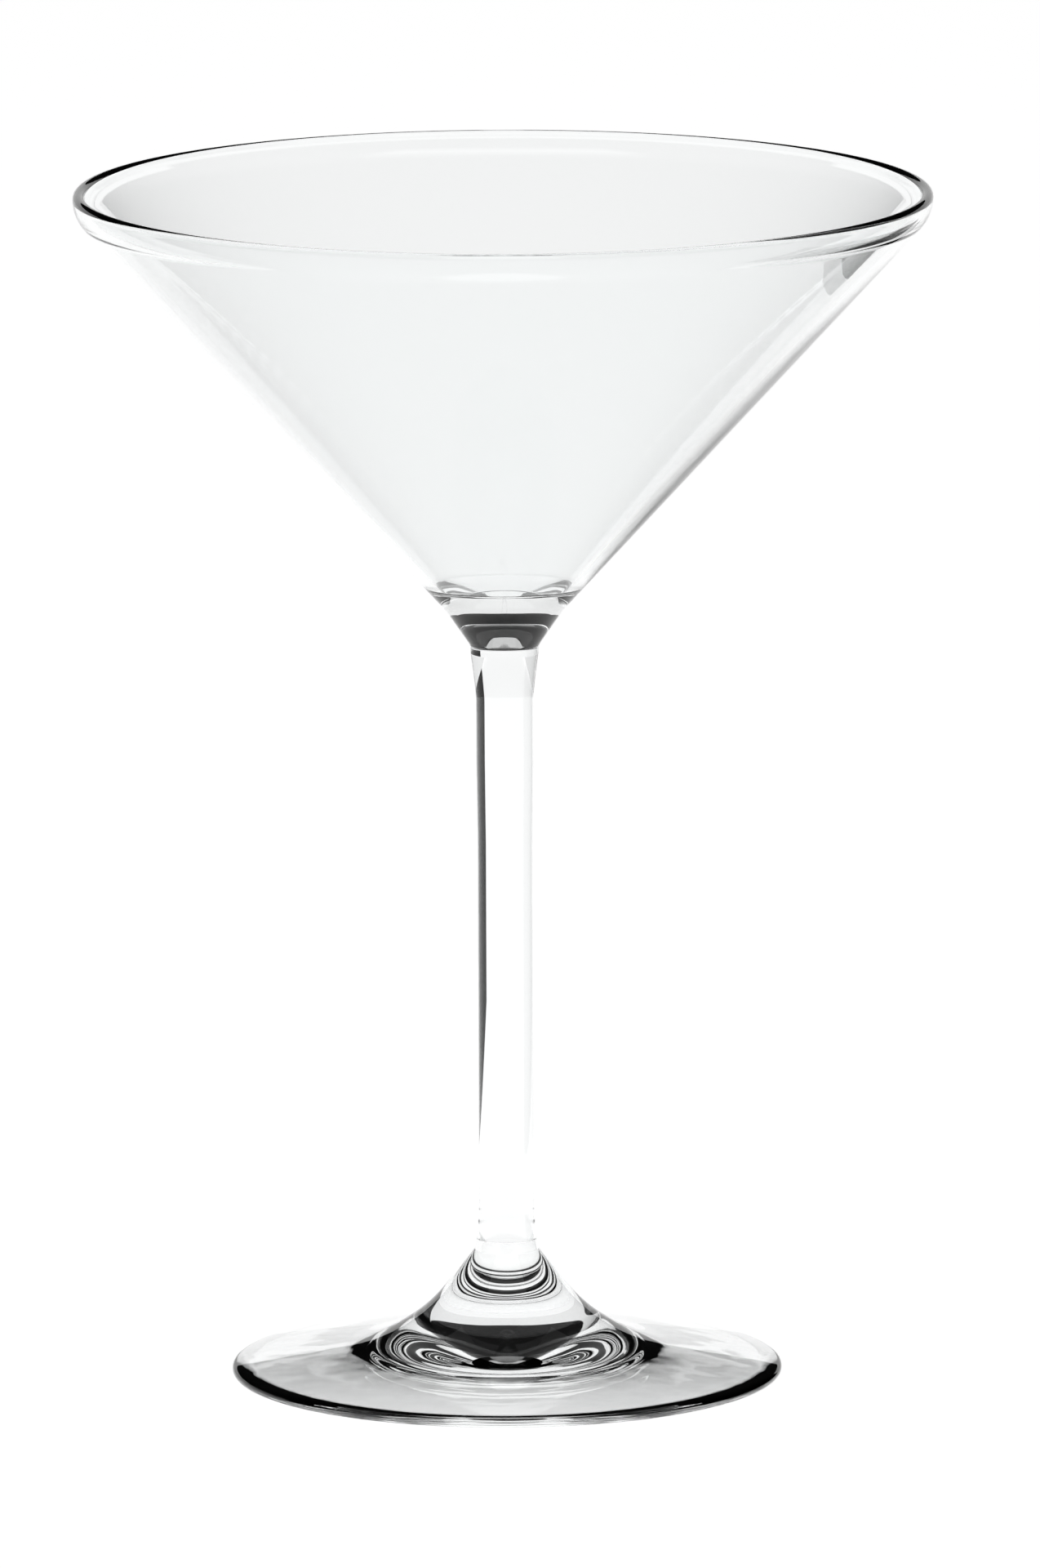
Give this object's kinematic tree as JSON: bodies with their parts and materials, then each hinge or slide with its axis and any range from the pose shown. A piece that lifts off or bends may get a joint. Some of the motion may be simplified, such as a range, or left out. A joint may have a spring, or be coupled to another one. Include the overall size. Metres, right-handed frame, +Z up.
{
  "type": "martini glass",
  "caption": "Clear stemmed cocktail glass: a wide conical bowl on a slim solid stem and a round sloping foot, fused end to end.",
  "frame": {"origin": "centre of the foot's underside, on the surface that the glass stands on", "axes": "+Z up the stem to the rim, which is the glass's axis of symmetry; +X to the right and +Y away from the viewer"},
  "size_m": [0.12, 0.12, 0.168],
  "materials": {
    "bowl_glass": "clear soda-lime glass, fire-polished",
    "stem_glass": "clear soda-lime glass, drawn",
    "foot_glass": "clear soda-lime glass, spun"
  },
  "bodies": {
    "root": {"bowl": "bowl_glass", "stem": "stem_glass", "foot": "foot_glass"}
  },
  "joints": []
}
